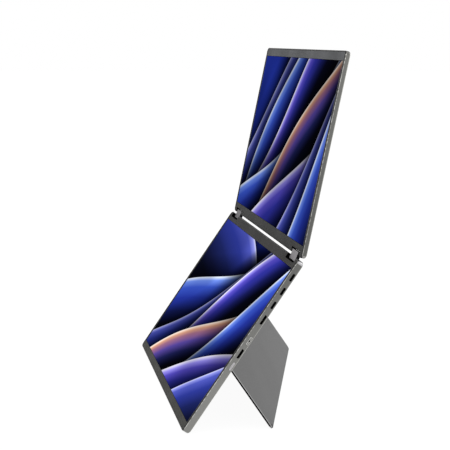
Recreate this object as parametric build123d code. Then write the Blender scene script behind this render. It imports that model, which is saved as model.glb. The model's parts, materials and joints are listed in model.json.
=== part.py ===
from build123d import *
import math
import os

# A folding two-screen portable monitor, standing open on its rear stand.
# Millimetres and degrees. World frame: +X to the viewer's right, +Y to the back,
# +Z up, origin on the table under the middle of the bottom foot strip.
# Each half is drawn lying flat: x across, s up from its lower front edge, and
# depth counted backwards from its front face. Its own Z axis points out of the
# screen, so a depth d lies at z = -d.

# Pose of the object as it stands
lower_lean = 55.19            # lower half, measured up from the table
screen_angle = 156.9          # angle between the two screen faces

# Screens and bezels
active_width = 301.6          # 14 inch panel, 16:10
active_height = 188.5
side_bezel = 5.2
lower_foot_bezel = 9.7
lower_hinge_bezel = 11.3
upper_hinge_bezel = 12.4
upper_top_bezel = 10.2
black_border = 0.4            # unlit edge of the glass around the picture

# Layers, counted from the front face
frame_recess = 0.2
frame_thickness = 0.8
glass_thickness = 0.65
display_thickness = 0.9
display_lap = 1.0             # how far the display reaches behind the front frame
board_gap = 0.67
board_thickness = 0.7
upper_board_gap = 0.6
upper_board_thickness = 0.6
upper_rear_space = 1.3
socket_gap = 0.67             # between the sockets and the rear skin
skin = 1.0

# Shells
rim_width = 1.2
ledge_width = 1.0
rim_chamfer = 0.6
corner_radius = 5.0
lower_back_round = 2.5
upper_back_round = 2.0
inner_wall = 1.0
trim_gap = 0.15
sliver_guard = 0.1            # smallest round that is worth keeping
overcut = 1.0                 # overshoot of a cut past the face it opens
beyond = 20.0                 # overshoot of a cut that runs out of the body

# Main hinge: two parallel axes joined by a link block at each end
lower_axis_depth = 4.4
upper_axis_depth = 2.2
lower_axis_inset = 2.25
upper_axis_inset = 2.2
closed_gap = 1.0              # between the two faces when shut
link_radius = 2.0
link_overhang = 1.6           # from an axis to the link's end
link_corner_round = 0.4
link_width = 20.2
link_end_inset = 16.0         # from a body's side to the link's outer face
link_edge_cut = 0.3
lower_notch_room = 1.65
upper_notch_room = 1.6
notch_inner_room = 3.8
notch_outer_room = 6.0
lower_lip_gap = 0.8           # from the axis down to the rear skin left across a notch
upper_lip_gap = 1.25          # from the axis up to the same
pin_radius = 1.0
pin_head_radius = 1.25
pin_head_thickness = 0.5
running_gap = 0.05
ear_width = 3.0
ear_side_gap = 0.3
leaf_thickness = 1.0
leaf_length = 14.0
leaf_width = 24.0
leaf_start_gap = 0.5
slot_gap = 0.15

# Screws that hold the hinge leaves and the boards
screw_radius = 0.7
screw_head_radius = 1.4
screw_head_height = 0.6
screw_bite = 0.4              # how far a leaf screw enters the rear skin
boss_radius = 2.2
leaf_screw_inset = 5.0
board_screw_head_height = 0.4
board_screw_length = 1.3
board_screw_inset = 4.0

# Rear stand: a plate that swings on a slanted hinge
stand_side_inset = 11.2       # from the body's side to the stand's side
stand_near_side = 78.1        # height of its right side, from foot to hinge
stand_thickness = 1.6
stand_slant = 16.15
stand_corner_radius = 5.5
stand_edge_round = 0.4
stand_flat = 0.7              # width of the flat that rests on the table
stand_side_gap = 0.4
stand_gap = 0.3
groove_end_room = 1.2
recess_skin = 0.8
channel_wall = 0.8
knuckle_inset = 0.1           # knuckle's radius under the stand's thickness
knuckle_length = 16.0
knuckle_end_inset = 59.8      # along the hinge, from its end to a knuckle's middle
stand_pin_radius = 0.75
stand_pin_grip = 12.0
stand_leaf_length = 16.0
stand_screw_spread = 9.0

# Foot strip under the lower half
foot_end_inset = 26.5
foot_width = 2.2
foot_height = 0.95
foot_flat = 0.68
foot_recess_gap = 0.1
foot_end_round = 0.5

# Sockets and buttons on the right side, from the hinge edge downwards
port_end_room = 18.6          # hinge edge to the middle of the first socket
usb_pitch = 16.85
usb_to_hdmi = 18.0
hdmi_to_power = 25.6
power_to_hdmi = 15.8
hdmi_to_menu = 15.2
port_lip = 1.0
port_gap = 0.1
socket_depth = 7.0
socket_wall = 0.3
usb_width = 8.94
usb_thickness = 3.26
usb_corner = 1.25
hdmi_width = 11.2
hdmi_thickness = 3.2
hdmi_corner = 0.6
hdmi_shoulder = 1.1
tongue_thickness = 0.7
tongue_share = 0.75           # of the socket's width and depth
button_length = 9.6
button_width = 2.4
button_proud = 0.3
button_travel = 0.4
button_gap = 0.15
button_edge_round = 0.25
flange_reach = 0.9
flange_thickness = 0.5
flange_gap = 0.1
stem_length = 0.5
stem_height = 1.6
stem_width = 3.0
indicator_radius = 0.55
indicator_depth = 0.9
rib_count = 6
rib_pitch = 1.1
rib_groove = 0.4
rib_depth = 0.2
switch_length = 4.4
switch_height = 2.8
switch_depth = 2.4
switch_gap = 0.15

# Boards and ribbons
board_width = 56.0
board_margin = 6.0
board_top_gap = 3.0
board_edge_gap = 1.6          # from the side wall to the board
board_strip_width = 5.1
board_strip_gap = 6.0         # from the strip's end to the notch wall
board_strip_lap = 1.0
shield_width = 30.0
shield_height = 38.0
shield_thickness = 1.6
shield_wall = 0.25
upper_board_width = 100.0
upper_board_height = 16.0
upper_board_low = 9.0
ribbon_width = 20.0
ribbon_thickness = 0.15
ribbon_hold = 8.0
ribbon_step = 4.0

# Worked-out sizes
body_width = active_width + 2 * side_bezel
half_width = body_width / 2
lower_height = lower_foot_bezel + active_height + lower_hinge_bezel
upper_height = upper_hinge_bezel + active_height + upper_top_bezel
display_front = frame_recess + frame_thickness
display_back = display_front + display_thickness
board_front = display_back + board_gap
board_back = board_front + board_thickness
lower_skin_depth = board_back + usb_thickness + socket_gap
lower_thickness = lower_skin_depth + skin
upper_board_front = display_back + upper_board_gap
upper_board_back = upper_board_front + upper_board_thickness
upper_skin_depth = upper_board_back + upper_rear_space
upper_thickness = upper_skin_depth + skin
port_depth = board_back + usb_thickness / 2
wall = rim_width + ledge_width
link_turn = (180 - screen_angle) / 2
link_inner_x = half_width - link_end_inset - link_width
axis_distance = lower_axis_depth + upper_axis_depth + closed_gap
lower_axis_height = lower_height - lower_axis_inset
lower_notch_low = lower_axis_height - link_radius - lower_notch_room
upper_notch_high = upper_axis_inset + link_radius + upper_notch_room
notch_inner_x = link_inner_x - notch_inner_room
notch_outer_x = link_inner_x + link_width + notch_outer_room
ear_outer_x = link_inner_x - ear_side_gap
ear_inner_x = ear_outer_x - ear_width
stand_half_width = half_width - stand_side_inset
stand_depth = lower_thickness - stand_thickness
knuckle_radius = stand_thickness - knuckle_inset
recess_depth = stand_depth - stand_gap
groove_radius = stand_thickness + stand_gap
channel_radius = groove_radius + channel_wall
foot_back = recess_depth - foot_recess_gap
foot_half_length = half_width - foot_end_inset
first_usb = lower_height - port_end_room
usb_heights = {"upper": first_usb, "middle": first_usb - usb_pitch, "lower": first_usb - 2 * usb_pitch}
first_hdmi = usb_heights["lower"] - usb_to_hdmi
power_height = first_hdmi - hdmi_to_power
hdmi_heights = {"upper": first_hdmi, "lower": power_height - power_to_hdmi}
menu_height = hdmi_heights["lower"] - hdmi_to_menu
board_right = half_width - wall - board_edge_gap
board_low = menu_height - board_margin
board_top = lower_notch_low - inner_wall - leaf_start_gap - leaf_length - board_top_gap

# Height of the lower half's front edge over the table, and its place in Y:
# the foot strip's rear corner is cut level by the table plane.
lean_sin = math.sin(math.radians(lower_lean))
lean_cos = math.cos(math.radians(lower_lean))
edge_height = foot_height * lean_sin + foot_back * lean_cos - foot_flat * lean_sin * lean_cos
foot_centre_s = -foot_height + foot_flat * lean_cos / 2
foot_centre_depth = foot_back - foot_flat * lean_sin / 2
edge_y = -(foot_centre_s * lean_cos + foot_centre_depth * lean_sin)

# Stand hinge: the swing angle that lays the whole foot edge level on the table,
# and the height of the foot edge on the shut stand that puts it at table height.
slant_cos = math.cos(math.radians(stand_slant))
slant_tan = math.tan(math.radians(stand_slant))
stand_swing = 2 * math.degrees(math.atan(lean_cos / (slant_cos * lean_sin)))
stand_foot_s = (stand_depth * lean_cos - edge_height) / lean_sin
stand_end_s = stand_foot_s - stand_flat * lean_cos
stand_hinge_mid_s = stand_foot_s + stand_near_side + stand_half_width * slant_tan
knuckle_reach = stand_half_width / slant_cos - knuckle_end_inset

# Where each moving piece is placed
lower_place = Pos(0, edge_y, edge_height) * Rot(lower_lean, 0, 0)
link_place = lower_place * Pos(0, lower_axis_height, -lower_axis_depth) * Rot(link_turn, 0, 0)
upper_place = (
    link_place
    * Pos(0, axis_distance, 0)
    * Rot(link_turn, 0, 0)
    * Pos(0, -upper_axis_inset, upper_axis_depth)
)
hinge_line = Pos(0, stand_hinge_mid_s, -stand_depth) * Rot(0, 0, -stand_slant)
stand_place = lower_place * hinge_line * Rot(stand_swing, 0, 0) * hinge_line.inverse()


def block(x_range, s_range, depth_range):
    """Box over ranges of x, of height s and of depth behind the front face."""
    size_x = x_range[1] - x_range[0]
    size_s = s_range[1] - s_range[0]
    size_depth = depth_range[1] - depth_range[0]
    middle = Pos(x_range[0] + size_x / 2, s_range[0] + size_s / 2, -depth_range[0] - size_depth / 2)
    return middle * Box(size_x, size_s, size_depth)


def rounded_plate(inset, height, depth_range):
    """Plate with the body's own outline, drawn in by an inset."""
    radius = max(corner_radius - inset, sliver_guard)
    outline = RectangleRounded(body_width - 2 * inset, height - 2 * inset, radius)
    plate = extrude(outline, depth_range[1] - depth_range[0])
    return Pos(0, height / 2, -depth_range[1]) * plate


def peg(radius, x, s, depth_range):
    """Round peg that points front to back."""
    length = depth_range[1] - depth_range[0]
    return Pos(x, s, -depth_range[0] - length / 2) * Cylinder(radius, length)


def cross_pin(radius, x_range):
    """Round bar along x, centred on the local origin."""
    length = x_range[1] - x_range[0]
    return Pos(x_range[0] + length / 2, 0, 0) * Rot(0, 90, 0) * Cylinder(radius, length)


def mirrored(side, x_range):
    """Range of x on the right for side 1, or its mirror for side -1."""
    ends = sorted((side * x_range[0], side * x_range[1]))
    return ends[0], ends[1]


def outer_form(height, thickness, back_round):
    """Closed outer form of one half, with its bright front chamfer."""
    form = rounded_plate(0, height, (0, thickness))
    form = fillet(form.edges().group_by(Axis.Z)[0], back_round)
    return chamfer(form.edges().group_by(Axis.Z)[-1], rim_chamfer)


def tray(form, height, skin_depth):
    """Open tray: a shallow pocket for the front frame over a deeper cavity."""
    pocket = rounded_plate(rim_width, height, (-overcut, display_front))
    cavity = rounded_plate(wall, height, (display_front - sliver_guard, skin_depth))
    return form - pocket - cavity


def notch_block(side, s_range, depth_range, grow):
    """Space that a link block turns in, grown for the wall around it."""
    x_range = mirrored(side, (notch_inner_x - grow, notch_outer_x + grow))
    return block(x_range, (s_range[0] - grow, s_range[1] + grow), depth_range)


def notch_cut(side, s_range, open_range, skin_depth):
    """Cut of one notch: down to the rear skin, and right through it over the open range."""
    pocket = notch_block(side, s_range, (-beyond, skin_depth), 0)
    return pocket + notch_block(side, open_range, (-beyond, beyond), 0)


def ear_slot(side, s_range, axis_depth):
    """Slot in a notch wall that lets the hinge ear through."""
    x_range = mirrored(side, (ear_inner_x - slot_gap, ear_outer_x + slot_gap))
    deep = axis_depth + link_radius + slot_gap
    return block(x_range, s_range, (axis_depth - slot_gap, deep))


def leaf_screw_places(side, leaf_low):
    """The two screw places on a main hinge leaf."""
    inner = ear_outer_x - leaf_width + leaf_screw_inset
    outer = ear_inner_x - leaf_screw_inset
    middle = leaf_low + leaf_length / 2
    return [(side * inner, middle), (side * outer, middle)]


lower_leaf_low = lower_notch_low - inner_wall - leaf_start_gap - leaf_length
upper_leaf_low = upper_notch_high + inner_wall + leaf_start_gap


def board_screw_places():
    """Corner screws of the main board, clear of the sockets."""
    left = board_right - board_width + board_screw_inset
    right = board_right - socket_depth - boss_radius
    low = board_low + board_screw_inset
    high = board_top - board_screw_inset
    return [(left, low), (right, low), (left, high), (right, high)]


def upper_board_screw_places():
    """End screws of the upper board."""
    reach = upper_board_width / 2 - board_screw_inset
    middle = upper_board_low + upper_board_height / 2
    return [(-reach, middle), (reach, middle)]


def stand_outline(half_x, low_s, above):
    """Outline under the slanted hinge line, with the line raised by a distance."""
    rise = above / slant_cos
    left_s = stand_hinge_mid_s + half_x * slant_tan + rise
    right_s = stand_hinge_mid_s - half_x * slant_tan + rise
    corners = [(-half_x, low_s), (half_x, low_s), (half_x, right_s), (-half_x, left_s)]
    return Polygon(*corners, align=None)


def stand_bar(radius, half_x):
    """Bar along the slanted hinge axis that stops square at plus and minus half_x."""
    reach = (half_x - radius * math.sin(math.radians(stand_slant))) / slant_cos
    return hinge_line * cross_pin(radius, (-reach, reach))


def stand_knuckle_centres():
    """Places of the two stand hinge knuckles along the slanted axis."""
    return {"left": -knuckle_reach, "right": knuckle_reach}


def stand_screw_places(centre):
    """Screws of one stand hinge leaf, in the hinge line's own frame."""
    high = stand_leaf_length - boss_radius - screw_head_radius
    return [(centre - stand_screw_spread / 2, high), (centre + stand_screw_spread / 2, high)]


def port_spot(height, depth):
    """Frame on the right side face: x up the body, y to the front, z outwards."""
    return Plane(origin=(half_width, height, -depth), x_dir=(0, 1, 0), z_dir=(1, 0, 0)).location


def usb_outline(grow):
    """Rounded outline of a USB-C socket body, grown or shrunk."""
    radius = usb_corner + grow
    return RectangleRounded(usb_width + 2 * grow, usb_thickness + 2 * grow, radius)


def hdmi_outline(grow):
    """Outline of a mini-HDMI socket: a bar with two cut lower shoulders."""
    across = hdmi_width / 2 + grow
    up = hdmi_thickness / 2 + grow
    shoulder = hdmi_shoulder
    corners = [
        (across, up),
        (-across, up),
        (-across, -up + shoulder),
        (-across + shoulder, -up),
        (across - shoulder, -up),
        (across, -up + shoulder),
    ]
    outline = Polygon(*corners, align=None)
    return fillet(outline.vertices(), max((hdmi_corner + grow) / 2, sliver_guard))


def port_cut(outline):
    """Opening in the side wall: a plug-sized lip, then room for the socket."""
    reach = port_lip + port_gap + socket_depth
    lip_length = port_lip + 2 * overcut
    lip = Pos(0, 0, -port_lip - overcut) * extrude(outline(port_gap - socket_wall), lip_length)
    seat = Pos(0, 0, -reach) * extrude(outline(port_gap), reach - port_lip)
    return lip + seat


def button_outline(grow):
    """Oval of a button, grown for its hole or flange."""
    return SlotOverall(button_length + 2 * grow, button_width + 2 * grow)


def lower_shell_supports():
    """Material inside the lower tray: stand pad and channel, notch walls, screw bosses."""
    boss_end = lower_skin_depth + skin / 2
    pad_half = stand_half_width + stand_side_gap + channel_wall
    pad_thickness = lower_thickness - recess_depth + recess_skin
    pad = extrude(stand_outline(pad_half, wall / 2, 0), pad_thickness)
    added = Pos(0, 0, -lower_thickness) * pad + stand_bar(channel_radius, pad_half + groove_end_room)
    for side in (-1, 1):
        walls = (lower_notch_low, lower_height - wall / 2)
        added += notch_block(side, walls, (display_front, boss_end), inner_wall)
        for x, s in leaf_screw_places(side, lower_leaf_low):
            added += peg(boss_radius, x, s, (lower_axis_depth + link_radius, boss_end))
    for x, s in board_screw_places():
        added += peg(boss_radius, x, s, (board_back, boss_end))
    leaf_back = knuckle_radius - leaf_thickness
    for centre in stand_knuckle_centres().values():
        for x, y in stand_screw_places(centre):
            added += hinge_line * peg(boss_radius, x, y, (-leaf_back, stand_thickness - skin / 2))
    return added


def stand_recess():
    """Space cut for the shut stand, for its barrel and for its swing."""
    groove_half = stand_half_width + groove_end_room
    space = stand_bar(groove_radius, groove_half + groove_radius * slant_tan)
    recess = extrude(stand_outline(stand_half_width + stand_side_gap, -beyond, 0), beyond)
    space += Pos(0, 0, -recess_depth - beyond) * recess
    swing_room = extrude(stand_outline(groove_half, -beyond, groove_radius), beyond)
    swing_room -= extrude(stand_outline(groove_half, -beyond, 0), beyond)
    return space + Pos(0, 0, -stand_depth - beyond) * swing_room


def stand_bracket_cuts(centre):
    """Slot for one stand leaf through the channel wall, and its screw holes."""
    leaf_back = knuckle_radius - leaf_thickness
    slot_half = knuckle_length / 2 + slot_gap
    slot_depths = (-knuckle_radius - slot_gap, -leaf_back + slot_gap)
    cuts = block((centre - slot_half, centre + slot_half), (0, channel_radius + slot_gap), slot_depths)
    for x, y in stand_screw_places(centre):
        cuts += peg(screw_radius, x, y, (-leaf_back, stand_thickness - skin + screw_bite))
    return hinge_line * cuts


def side_wall_cuts():
    """Openings for the sockets and buttons in the right side."""
    cuts = []
    for height in usb_heights.values():
        cuts.append(port_spot(height, port_depth) * port_cut(usb_outline))
    for height in hdmi_heights.values():
        cuts.append(port_spot(height, board_back + hdmi_thickness / 2) * port_cut(hdmi_outline))
    for height in (power_height, menu_height):
        hole = extrude(button_outline(button_gap), wall + 2 * overcut)
        cuts.append(port_spot(height, port_depth) * Pos(0, 0, -wall - overcut) * hole)
    return cuts


def lower_back_shell():
    """Rear tray of the lower half, with the stand recess, notches and port openings."""
    form = outer_form(lower_height, lower_thickness, lower_back_round)
    shell = tray(form, lower_height, lower_skin_depth)
    shell += lower_shell_supports() & form
    cuts = [stand_recess()] + side_wall_cuts()
    notch_range = (lower_notch_low, lower_height + beyond)
    open_range = (lower_axis_height - lower_lip_gap, lower_height + beyond)
    for side in (-1, 1):
        cuts.append(notch_cut(side, notch_range, open_range, lower_skin_depth))
        slot_range = (lower_notch_low - 2 * inner_wall, lower_notch_low + inner_wall)
        cuts.append(ear_slot(side, slot_range, lower_axis_depth))
        for x, s in leaf_screw_places(side, lower_leaf_low):
            cuts.append(peg(screw_radius, x, s, (lower_axis_depth, lower_skin_depth + screw_bite)))
    for x, s in board_screw_places():
        cuts.append(peg(screw_radius, x, s, (board_front, board_back + board_screw_length)))
    for centre in stand_knuckle_centres().values():
        cuts.append(stand_bracket_cuts(centre))
    for cut in cuts:
        shell -= cut
    return shell


def upper_back_shell():
    """Rear tray of the upper half, with its two hinge notches."""
    form = outer_form(upper_height, upper_thickness, upper_back_round)
    shell = tray(form, upper_height, upper_skin_depth)
    added = []
    cuts = []
    boss_end = upper_skin_depth + skin / 2
    open_range = (-beyond, upper_axis_inset + upper_lip_gap)
    for side in (-1, 1):
        walls = (wall / 2, upper_notch_high)
        added.append(notch_block(side, walls, (display_front, boss_end), inner_wall))
        cuts.append(notch_cut(side, (-beyond, upper_notch_high), open_range, upper_skin_depth))
        slot_range = (upper_notch_high - inner_wall, upper_notch_high + 2 * inner_wall)
        cuts.append(ear_slot(side, slot_range, upper_axis_depth))
        for x, s in leaf_screw_places(side, upper_leaf_low):
            top = upper_axis_depth + link_radius
            added.append(peg(boss_radius, x, s, (top, boss_end)))
            cuts.append(peg(screw_radius, x, s, (top, upper_skin_depth + screw_bite)))
    for x, s in upper_board_screw_places():
        added.append(peg(boss_radius, x, s, (upper_board_back, boss_end)))
        cuts.append(peg(screw_radius, x, s, (upper_board_front, upper_board_back + board_screw_length)))
    for piece in added:
        shell += piece & form
    for piece in cuts:
        shell -= piece
    return shell


def front_frame(height, low_bezel, notch_range):
    """Flat dark frame around one screen, cut out at the hinge notches."""
    frame = rounded_plate(rim_width + trim_gap, height, (frame_recess, display_front))
    window_half = active_width / 2 + black_border
    low = low_bezel - black_border
    high = low_bezel + active_height + black_border
    through = (-overcut, display_front + overcut)
    frame -= block((-window_half, window_half), (low, high), through)
    for side in (-1, 1):
        frame -= notch_block(side, notch_range, through, 0)
    return frame


def cover_glass(low_bezel):
    """Glass that fills the frame's window."""
    half_x = active_width / 2 + black_border - trim_gap
    low = low_bezel - black_border + trim_gap
    high = low_bezel + active_height + black_border - trim_gap
    return block((-half_x, half_x), (low, high), (display_front - glass_thickness, display_front))


def display_panel(low_bezel):
    """Thin display behind the glass, lapped behind the frame."""
    reach = black_border + display_lap
    half_x = active_width / 2 + reach
    low = low_bezel - reach
    high = low_bezel + active_height + reach
    return block((-half_x, half_x), (low, high), (display_front, display_back))


def ribbon(x, s, gap):
    """Flat ribbon that steps down from the display's back to a board's front."""
    near = display_back
    far = display_back + gap
    hold_end = s - ribbon_hold
    step_end = hold_end - ribbon_step
    board_end = step_end - ribbon_hold
    corners = [
        (s, -near),
        (hold_end, -near),
        (step_end, -far + ribbon_thickness),
        (board_end, -far + ribbon_thickness),
        (board_end, -far),
        (step_end, -far),
        (hold_end, -near - ribbon_thickness),
        (s, -near - ribbon_thickness),
    ]
    side_plane = Plane(origin=(x - ribbon_width / 2, 0, 0), x_dir=(0, 1, 0), z_dir=(1, 0, 0))
    return side_plane.location * extrude(Polygon(*corners, align=None), ribbon_width)


def main_board():
    """Control board, with a strip that carries the highest socket."""
    left = board_right - board_width
    board = block((left, board_right), (board_low, board_top), (board_front, board_back))
    strip_left = board_right - board_strip_width
    strip_range = (board_top - board_strip_lap, lower_notch_low - inner_wall - board_strip_gap)
    board += block((strip_left, board_right), strip_range, (board_front, board_back))
    for x, s in board_screw_places():
        board -= peg(screw_radius, x, s, (board_front - overcut, board_back + overcut))
    return board


def board_shield():
    """Thin metal can over the board's chips."""
    left = board_right - board_width + board_width / 2 - shield_width / 2
    low = (board_low + board_top) / 2 - shield_height / 2
    right = left + shield_width
    high = low + shield_height
    can = block((left, right), (low, high), (board_back, board_back + shield_thickness))
    inside = shield_wall
    hollow_depths = (board_back - overcut, board_back + shield_thickness - inside)
    return can - block((left + inside, right - inside), (low + inside, high - inside), hollow_depths)


def upper_driver_board():
    """Small board that drives the upper screen."""
    half_x = upper_board_width / 2
    high = upper_board_low + upper_board_height
    board = block((-half_x, half_x), (upper_board_low, high), (upper_board_front, upper_board_back))
    for x, s in upper_board_screw_places():
        board -= peg(screw_radius, x, s, (upper_board_front - overcut, upper_board_back + overcut))
    return board


def screw_group(places, head_range, tip_depth):
    """Alike screws that share one node."""
    screws = []
    for x, s in places:
        head = peg(screw_head_radius, x, s, head_range)
        screws.append(head + peg(screw_radius, x, s, (head_range[1], tip_depth)))
    return Compound(children=screws)


def socket(outline, width):
    """Socket shell of one outline, open outwards, with a tongue inside."""
    body = Pos(0, 0, -socket_depth) * extrude(outline(0), socket_depth)
    hollow_depth = socket_depth - 2 * socket_wall
    body -= Pos(0, 0, -hollow_depth) * extrude(outline(-socket_wall), hollow_depth + overcut)
    tongue_length = hollow_depth * tongue_share
    tongue = Box(width * tongue_share, tongue_thickness, tongue_length + socket_wall)
    return body + Pos(0, 0, -hollow_depth + (tongue_length - socket_wall) / 2) * tongue


def plain_button():
    """Oval button with its inner flange and stem, before ribs or lens."""
    flange_top = -wall - flange_gap
    flange_low = flange_top - flange_thickness
    cap = Pos(0, 0, flange_top) * extrude(button_outline(0), button_proud - flange_top)
    cap = fillet(cap.edges().group_by(Axis.Z)[-1], button_edge_round)
    flange = SlotOverall(button_length + 2 * flange_reach, stem_width + 2 * button_gap)
    cap += Pos(0, 0, flange_low) * extrude(flange, flange_thickness)
    stem = Box(stem_width, stem_height, stem_length)
    return cap + Pos(0, 0, flange_low - stem_length / 2) * stem


def power_indicator_lens():
    """Small lens, flush in the middle of the power button."""
    return Pos(0, 0, button_proud - indicator_depth / 2) * Cylinder(indicator_radius, indicator_depth)


def power_button():
    """Button with a round seat for its indicator lens."""
    return plain_button() - power_indicator_lens()


def menu_button():
    """Button with fine ribs across it for the finger."""
    button = plain_button()
    for index in range(rib_count):
        along = (index - (rib_count - 1) / 2) * rib_pitch
        groove = Box(rib_groove, button_width + overcut, 2 * rib_depth)
        button -= Pos(along, 0, button_proud) * groove
    return button


def button_switches():
    """The two push switches on the board, one behind each button."""
    stem_end = wall + flange_gap + flange_thickness + stem_length
    outer = half_width - stem_end - button_travel - switch_gap
    switches = []
    for height in (power_height, menu_height):
        s_range = (height - switch_length / 2, height + switch_length / 2)
        depths = (board_back, board_back + switch_height)
        switches.append(block((outer - switch_depth, outer), s_range, depths))
    return Compound(children=switches)


def foot_strip():
    """Rubber strip under the lower half, with its corner cut level by the table."""
    depths = (foot_back - foot_width, foot_back)
    strip = block((-foot_half_length, foot_half_length), (-foot_height, 0), depths)
    strip = fillet(strip.edges().filter_by(Axis.Y), foot_end_round)
    return lower_place * strip - table_cut()


def table_cut():
    """Everything under the table plane."""
    return Pos(0, 0, -beyond) * Box(4 * body_width, 4 * body_width, 2 * beyond)


def hinge_link(side):
    """Link block that joins the two hinge axes at one end."""
    middle = Pos(link_inner_x + link_width / 2, axis_distance / 2, 0)
    link = middle * Box(link_width, axis_distance + 2 * link_overhang, 2 * link_radius)
    link = fillet(link.edges().filter_by(Axis.X), link_corner_round)
    ends = link.edges().group_by(Axis.X)
    link = chamfer(ends[0] + ends[-1], link_edge_cut)
    for y in (0, axis_distance):
        link -= Pos(0, y, 0) * hinge_pin()
    return link if side > 0 else mirror(link, Plane.YZ)


def hinge_pin():
    """Pin from the bracket ear through the link, with its head at the outer face."""
    outer = link_inner_x + link_width
    pin = cross_pin(pin_radius, (ear_inner_x, outer))
    return pin + cross_pin(pin_head_radius, (outer - pin_head_thickness, outer))


def placed_hinge_pin(side, y):
    """One pin in place on the link of one side."""
    pin = Pos(0, y, 0) * hinge_pin()
    return pin if side > 0 else mirror(pin, Plane.YZ)


def hinge_bracket(side, axis_s, axis_depth, leaf_low):
    """Steel bracket: an ear around the pin and a leaf screwed to the shell."""
    deep = axis_depth + link_radius
    ear_x = (ear_inner_x, ear_outer_x)
    leaf_high = leaf_low + leaf_length
    tail = (min(axis_s, leaf_low), max(axis_s, leaf_high))
    bracket = Pos(0, axis_s, -axis_depth) * cross_pin(link_radius, ear_x)
    bracket += block(ear_x, tail, (axis_depth, deep))
    leaf_x = (ear_outer_x - leaf_width, ear_outer_x)
    bracket += block(leaf_x, (leaf_low, leaf_high), (deep - leaf_thickness, deep))
    bracket -= Pos(0, axis_s, -axis_depth) * cross_pin(pin_radius + running_gap, (0, link_inner_x))
    for x, s in leaf_screw_places(1, leaf_low):
        bracket -= peg(screw_radius, x, s, (axis_depth - overcut, deep + overcut))
    return bracket if side > 0 else mirror(bracket, Plane.YZ)


def stand_bracket(centre):
    """Steel knuckle and leaf that carry one end of the stand, in the hinge line's frame."""
    half = knuckle_length / 2
    reach = (centre - half, centre + half)
    bracket = cross_pin(knuckle_radius, reach)
    leaf_depths = (-knuckle_radius, -knuckle_radius + leaf_thickness)
    bracket += block(reach, (0, stand_leaf_length), leaf_depths)
    bracket -= cross_pin(stand_pin_radius + running_gap, (reach[0] - overcut, reach[1] + overcut))
    for x, y in stand_screw_places(centre):
        bracket -= peg(screw_radius, x, y, (-beyond, beyond))
    return bracket


def stand_pin(centre):
    """Pin through one stand knuckle, gripped by the plate at both ends."""
    reach = knuckle_length / 2 + stand_pin_grip
    return cross_pin(stand_pin_radius, (centre - reach, centre + reach))


def kickstand_plate():
    """The stand plate, drawn shut against the body, then swung open and cut level."""
    outline = stand_outline(stand_half_width, stand_end_s, 0)
    outline = fillet(outline.vertices().group_by(Axis.Y)[0], stand_corner_radius)
    slab = Pos(0, 0, -lower_thickness) * extrude(outline, stand_thickness)
    back_edges = slab.edges().group_by(Axis.Z)[0]
    slab = fillet(back_edges.sort_by(Axis.Y)[:-1], stand_edge_round)
    plate = slab + stand_bar(stand_thickness, stand_half_width)
    for centre in stand_knuckle_centres().values():
        half = knuckle_length / 2 + stand_gap
        room = cross_pin(knuckle_radius + stand_gap, (centre - half, centre + half))
        plate -= hinge_line * room
        plate -= hinge_line * stand_pin(centre)
    return stand_place * plate - table_cut()


def put_out(name, shape):
    """Write one sub-part to its own file."""
    export_step(shape, os.path.join("parts", name + ".step"))
    print(name, round(shape.volume, 1))


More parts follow.
